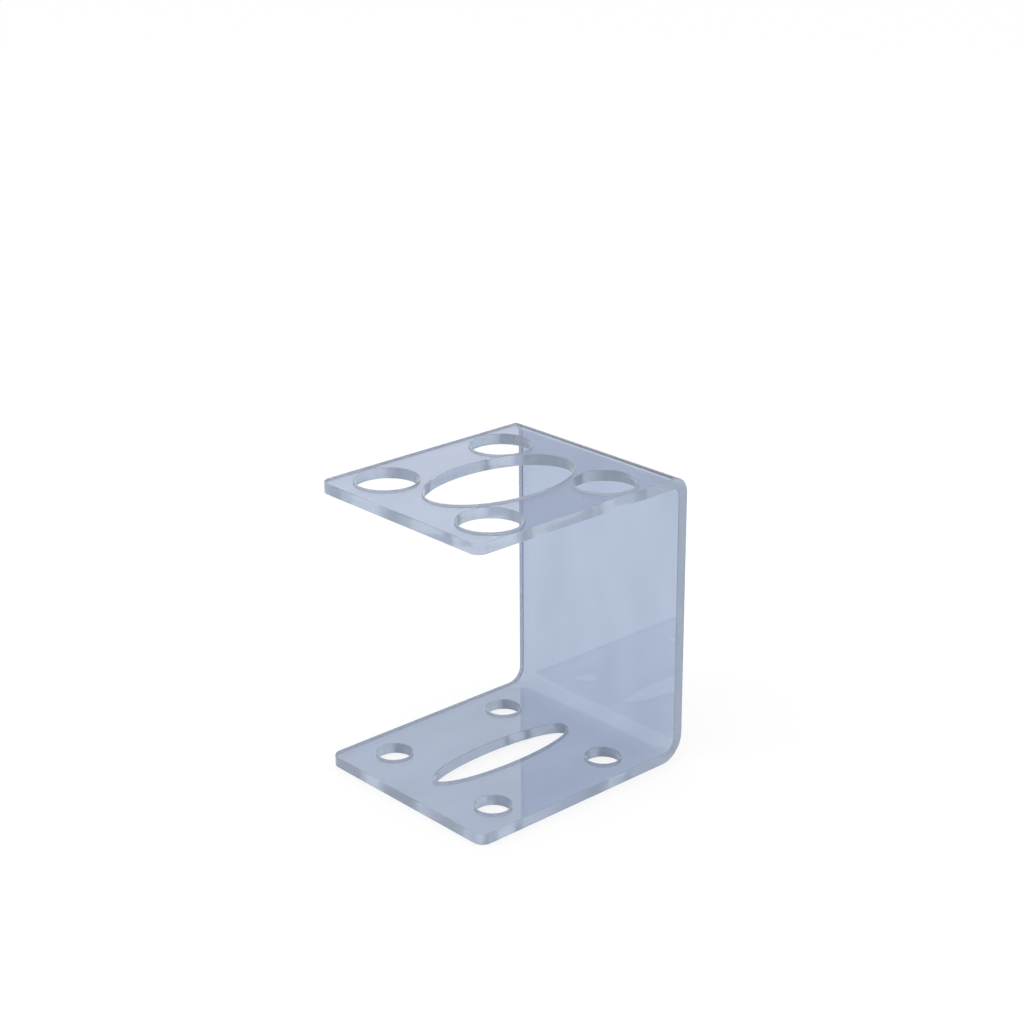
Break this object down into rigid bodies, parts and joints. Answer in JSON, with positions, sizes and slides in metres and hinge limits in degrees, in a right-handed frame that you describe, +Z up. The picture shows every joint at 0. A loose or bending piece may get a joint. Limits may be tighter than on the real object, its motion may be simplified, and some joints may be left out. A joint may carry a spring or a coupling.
{
  "type": "toothbrush holder",
  "caption": "Clear acrylic toothbrush holder bent into a C, with round handle holes and an oval tube opening in its shelf, and smaller openings below them in its base.",
  "frame": {"origin": "middle of the footprint, on the surface that the holder stands on", "axes": "+Z up, +Y towards the back panel so that the open front faces -Y, +X to the right seen from the front"},
  "size_m": [0.08, 0.094, 0.106],
  "materials": {
    "clear_acrylic": "clear acrylic sheet with a faint cool tint, glossy faces, laser-cut polished edges"
  },
  "bodies": {
    "root": {"base_plate": "clear_acrylic", "lower_bend": "clear_acrylic", "back_panel": "clear_acrylic", "upper_bend": "clear_acrylic", "top_shelf": "clear_acrylic"}
  },
  "joints": []
}
